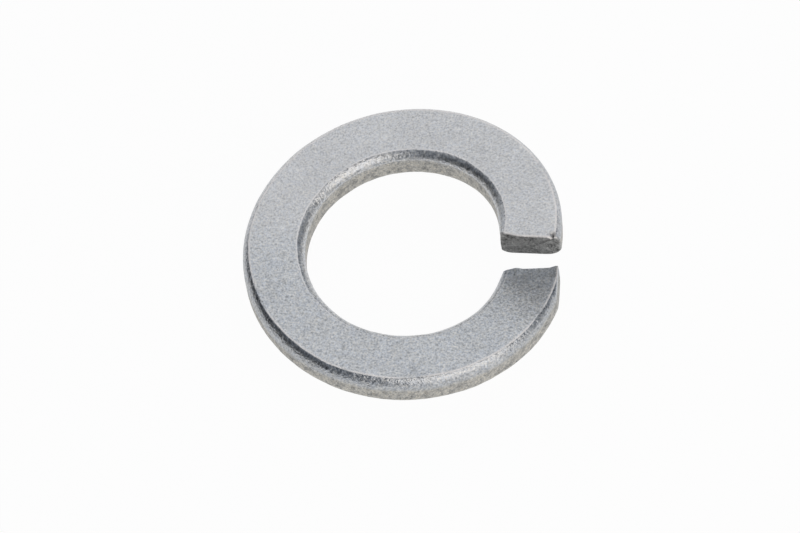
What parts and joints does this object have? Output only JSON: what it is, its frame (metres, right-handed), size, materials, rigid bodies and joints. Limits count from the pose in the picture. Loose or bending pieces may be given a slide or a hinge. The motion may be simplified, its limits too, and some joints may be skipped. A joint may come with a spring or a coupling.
{
  "type": "spring lock washer",
  "caption": "Split spring lock washer: flat zinc-plated steel wire coiled into one left-hand turn, with sheared, offset ends that bite under a bolt head or nut.",
  "frame": {"origin": "centre of the bore at mid height of the coil", "axes": "+Z along the bore, with the raised end above the low end; +X from the bore's axis to the middle of the split"},
  "size_m": [0.021, 0.0211, 0.0066],
  "materials": {
    "zinc_steel": "dull zinc plate"
  },
  "bodies": {
    "root": {"lock_washer": "zinc_steel"}
  },
  "joints": []
}
